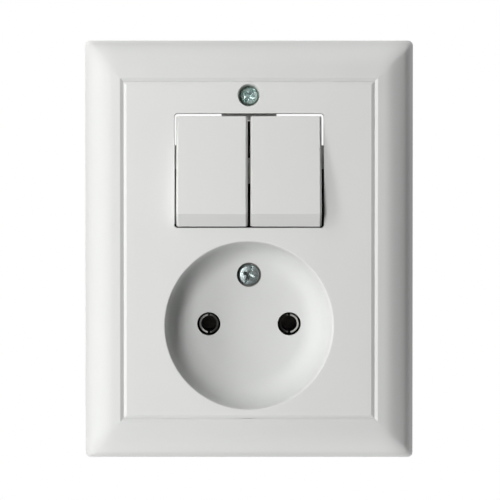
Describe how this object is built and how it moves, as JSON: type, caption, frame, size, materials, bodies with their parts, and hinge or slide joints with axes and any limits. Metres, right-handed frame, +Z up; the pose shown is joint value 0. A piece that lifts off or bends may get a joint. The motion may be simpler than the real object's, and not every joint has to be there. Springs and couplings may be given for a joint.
{
  "type": "switch and socket combination",
  "caption": "White flush wall unit with rocker switches above a round recessed socket, with a domed cover frame, a steel support plate and an insulating base.",
  "frame": {"origin": "midway between the box screws, on the wall surface", "axes": "+X to the right as seen by the user, +Y into the wall, +Z up"},
  "size_m": [0.0776, 0.042, 0.0988],
  "materials": {
    "cover_plastic": "satin moulded white",
    "rocker_plastic": "satin moulded white",
    "zinc_steel": "blue zinc plated",
    "support_steel": "zinc plated sheet",
    "base_thermoset": "moulded thermoset",
    "contact_brass": "stamped brass",
    "cover_thermoset": "moulded thermoset",
    "contact_nickel": "nickel plated brass",
    "contact_silver": "silver alloy",
    "spring_steel": "drawn wire",
    "plunger_plastic": "natural moulded"
  },
  "bodies": {
    "insert": {"cover_frame": "cover_plastic", "centre_plate": "cover_plastic", "upper_cover_screw": "zinc_steel", "socket_cover_screw": "zinc_steel", "support_plate": "support_steel", "support_rivets": "support_steel", "base_housing": "base_thermoset", "mechanism_cover": "cover_thermoset", "common_strip": "contact_brass", "terminal_clamps": "zinc_steel", "terminal_screws": "zinc_steel", "left_fixed_rivet": "contact_silver", "left_output_strip": "contact_brass", "left_socket_contact": "contact_nickel", "right_fixed_rivet": "contact_silver", "right_output_strip": "contact_brass", "right_socket_contact": "contact_nickel"},
    "left_rocker": {"left_rocker": "rocker_plastic", "left_plunger_spring": "spring_steel"},
    "left_plunger": {"left_plunger": "plunger_plastic"},
    "left_blade": {"left_contact_blade": "contact_brass", "left_blade_rivet": "contact_silver"},
    "right_rocker": {"right_rocker": "rocker_plastic", "right_plunger_spring": "spring_steel"},
    "right_plunger": {"right_plunger": "plunger_plastic"},
    "right_blade": {"right_contact_blade": "contact_brass", "right_blade_rivet": "contact_silver"}
  },
  "joints": [
    {"name": "left_rocker_hinge", "type": "hinge", "parent": "insert", "child": "left_rocker", "pos_m": [-0.0086, -0.0105, 0.01845], "axis": [1, 0, 0], "range_deg": [0, 9]},
    {"name": "left_plunger_slide", "type": "slide", "parent": "left_rocker", "child": "left_plunger", "axis": [0, -0.9969, 0.0785], "range_m": [0, 0.0008], "stiffness_N_per_m": 300, "springref_m": -0.003, "deforming": ["left_plunger_spring"]},
    {"name": "left_blade_hinge", "type": "hinge", "parent": "insert", "child": "left_blade", "pos_m": [-0.0086, 0.0066, 0.01845], "axis": [1, 0, 0], "range_deg": [-16, 0]},
    {"name": "right_rocker_hinge", "type": "hinge", "parent": "insert", "child": "right_rocker", "pos_m": [0.0086, -0.0105, 0.01845], "axis": [1, 0, 0], "range_deg": [0, 9]},
    {"name": "right_plunger_slide", "type": "slide", "parent": "right_rocker", "child": "right_plunger", "axis": [0, -0.9969, 0.0785], "range_m": [0, 0.0008], "stiffness_N_per_m": 300, "springref_m": -0.003, "deforming": ["right_plunger_spring"]},
    {"name": "right_blade_hinge", "type": "hinge", "parent": "insert", "child": "right_blade", "pos_m": [0.0086, 0.0066, 0.01845], "axis": [1, 0, 0], "range_deg": [-16, 0]}
  ],
  "couplings": [
    {"joint": "left_blade_hinge", "follows": "left_rocker_hinge", "ratio": -1.7777},
    {"joint": "right_blade_hinge", "follows": "right_rocker_hinge", "ratio": -1.7777}
  ]
}
